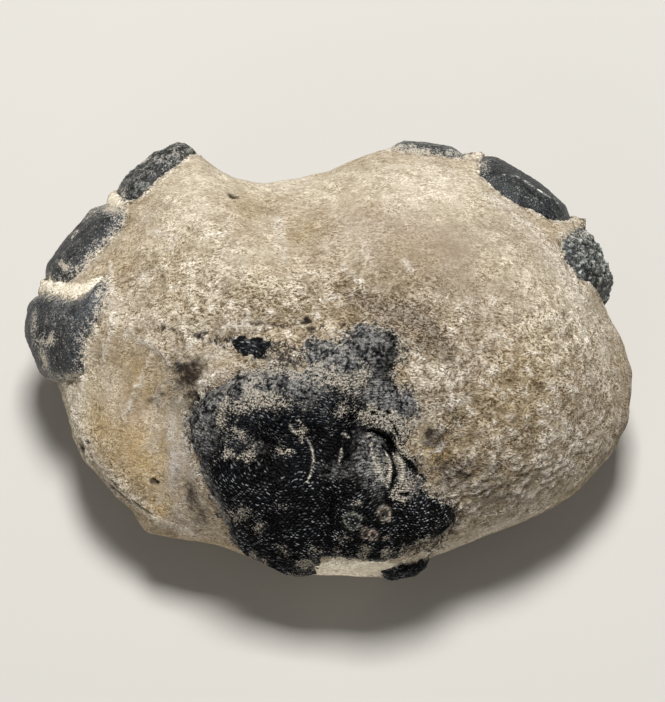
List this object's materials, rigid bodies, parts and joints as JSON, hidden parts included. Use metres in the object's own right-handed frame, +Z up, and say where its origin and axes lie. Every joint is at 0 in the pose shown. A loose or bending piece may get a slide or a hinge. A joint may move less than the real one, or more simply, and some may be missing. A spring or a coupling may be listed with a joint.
{
  "type": "fossil crab in a stone concretion",
  "caption": "Rounded limestone nodule with a dark fossil crab exposed on its upper face and leg segments along its rim; lies flat as a display or study piece.",
  "frame": {"origin": "middle of the footprint, on the surface that the stone rests on", "axes": "+Z up, +X along the stone's length towards the viewer's right, +Y away from the face that shows the body shell"},
  "size_m": [0.1242, 0.0957, 0.0485],
  "materials": {
    "limestone": "tan, sandy, hand-cleaned concretion, matt",
    "body_shell": "black granular mineralised shell, satin",
    "leg_shell": "grey-black mineralised leg shell, satin"
  },
  "bodies": {
    "root": {"matrix": "limestone", "carapace": "body_shell", "carapace_chip": "body_shell", "rear_shell_edge": "body_shell", "left_leg_end": "leg_shell", "left_leg_middle": "leg_shell", "left_leg_base": "leg_shell", "right_leg_end": "leg_shell", "right_leg_middle": "leg_shell", "right_leg_base": "leg_shell"}
  },
  "joints": []
}
